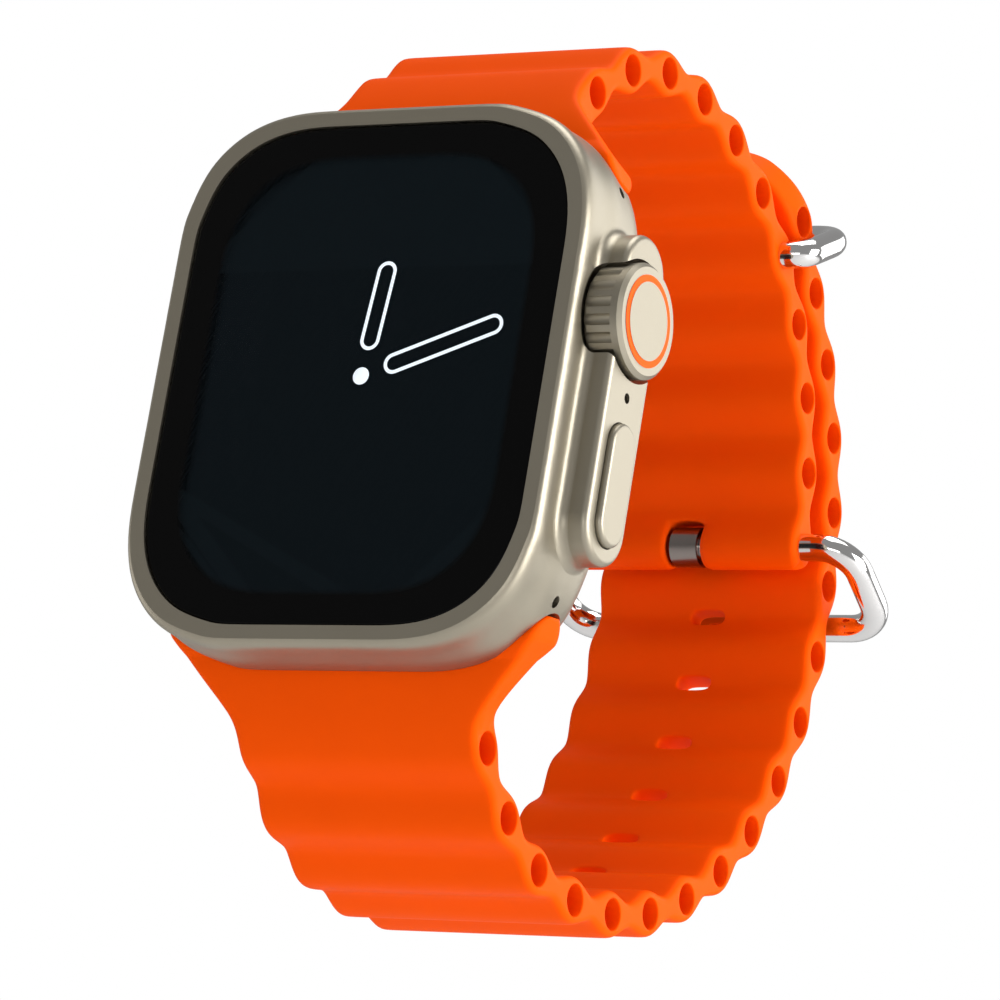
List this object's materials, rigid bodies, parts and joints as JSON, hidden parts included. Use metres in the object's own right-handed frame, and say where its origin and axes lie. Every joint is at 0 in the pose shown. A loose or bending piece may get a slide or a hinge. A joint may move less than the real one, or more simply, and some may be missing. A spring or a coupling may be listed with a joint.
{
  "type": "gps running watch",
  "caption": "Rectangular running watch with a metal case, crown, side button and guard, on a ridged elastomer band closed by a wire buckle and a wire keeper.",
  "frame": {"origin": "centre of the back crystal's flat face", "axes": "+X towards the crown side, +Y from the display through the back crystal into the wrist, +Z towards 12 o'clock"},
  "size_m": [0.0448, 0.0755, 0.0802],
  "materials": {
    "titanium": "bead-blasted warm titanium, satin",
    "polished_steel": "polished round steel wire",
    "orange_elastomer": "matte moulded fluoroelastomer",
    "orange_accent": "orange enamel ring",
    "cover_glass": "flat sapphire glass over a black display",
    "back_ceramic": "polished dark ceramic and crystal",
    "seal_rubber": "black sealing rubber",
    "circuit_board": "green solder mask",
    "chip_black": "moulded epoxy",
    "battery_foil": "foil pouch",
    "dark_metal": "machined steel",
    "copper": "enamelled copper winding"
  },
  "bodies": {
    "case": {"action_button_switch": "chip_black", "alignment_magnet": "dark_metal", "back_cover": "back_ceramic", "back_crystal": "back_ceramic", "back_gasket": "seal_rubber", "back_screws": "dark_metal", "battery": "battery_foil", "case_frame": "titanium", "charging_coil": "copper", "crown_bushing": "dark_metal", "crown_encoder": "circuit_board", "display_bracket": "dark_metal", "display_flex": "circuit_board", "display_gasket": "seal_rubber", "display_glass": "cover_glass", "gps_antenna": "dark_metal", "haptic_housing": "dark_metal", "main_board": "circuit_board", "microphone": "chip_black", "microphone_mesh": "dark_metal", "oled_panel": "chip_black", "processor_package": "chip_black", "radio_module": "chip_black", "sensor_board": "circuit_board", "sensor_lights": "chip_black", "side_button_switch": "chip_black", "speaker_mesh": "dark_metal", "speaker_module": "chip_black", "vent_plugs": "seal_rubber"},
    "crown_carrier": {"crown_collar": "dark_metal"},
    "crown": {"crown_knob": "titanium", "crown_ring": "orange_accent", "crown_cap": "titanium", "crown_stem": "polished_steel"},
    "side_button": {"side_button_cap": "titanium", "side_button_plunger": "dark_metal"},
    "action_button": {"action_button_cap": "orange_accent", "action_button_plunger": "dark_metal"},
    "release_lower": {"release_button_lower": "titanium"},
    "release_upper": {"release_button_upper": "titanium"},
    "haptic_weight": {"haptic_mass": "dark_metal"},
    "lower_band": {"lower_band": "orange_elastomer", "lower_lug_catch": "dark_metal"},
    "upper_band": {"upper_band": "orange_elastomer", "upper_lug_catch": "dark_metal"},
    "buckle": {"buckle_frame": "polished_steel", "buckle_pin": "polished_steel"},
    "tongue": {"buckle_tongue": "polished_steel"},
    "keeper": {"keeper_loop": "polished_steel", "keeper_pin": "polished_steel"}
  },
  "joints": [
    {"name": "crown_press", "type": "slide", "parent": "case", "child": "crown_carrier", "axis": [-1, 0, 0], "range_m": [0, 0.00035], "stiffness_N_per_m": 900, "springref_m": -0.0005},
    {"name": "crown_turn", "type": "hinge", "parent": "crown_carrier", "child": "crown", "pos_m": [0.0205, -0.00785, 0.0064], "axis": [1, 0, 0], "continuous": true},
    {"name": "side_button_press", "type": "slide", "parent": "case", "child": "side_button", "axis": [-1, 0, 0], "range_m": [0, 0.00035], "stiffness_N_per_m": 900, "springref_m": -0.0005},
    {"name": "action_button_press", "type": "slide", "parent": "case", "child": "action_button", "axis": [1, 0, 0], "range_m": [0, 0.00035], "stiffness_N_per_m": 900, "springref_m": -0.0005},
    {"name": "release_lower_press", "type": "slide", "parent": "case", "child": "release_lower", "axis": [0, -1, 0], "range_m": [0, 0.0004], "stiffness_N_per_m": 700, "springref_m": -0.0005},
    {"name": "release_upper_press", "type": "slide", "parent": "case", "child": "release_upper", "axis": [0, -1, 0], "range_m": [0, 0.0004], "stiffness_N_per_m": 700, "springref_m": -0.0005},
    {"name": "haptic_shake", "type": "slide", "parent": "case", "child": "haptic_weight", "axis": [1, 0, 0], "range_m": [-0.0006, 0.0006], "stiffness_N_per_m": 400},
    {"name": "lower_band_slide", "type": "slide", "parent": "case", "child": "lower_band", "axis": [1, 0, 0], "range_m": [-0.045, 0.045]},
    {"name": "upper_band_slide", "type": "slide", "parent": "case", "child": "upper_band", "axis": [1, 0, 0], "range_m": [-0.045, 0.045]},
    {"name": "buckle_pivot", "type": "hinge", "parent": "upper_band", "child": "buckle", "pos_m": [0, 0.04924, 0.00567], "axis": [1, 0, 0], "range_deg": [-5, 0]},
    {"name": "tongue_pivot", "type": "hinge", "parent": "upper_band", "child": "tongue", "pos_m": [0, 0.04924, 0.00567], "axis": [1, 0, 0], "range_deg": [0, 1.2]},
    {"name": "keeper_pivot", "type": "hinge", "parent": "upper_band", "child": "keeper", "pos_m": [0, 0.03685, 0.03014], "axis": [1, 0, 0], "range_deg": [-8, 8]}
  ],
  "couplings": [
    {"joint": "upper_band_slide", "follows": "lower_band_slide", "ratio": 1}
  ]
}
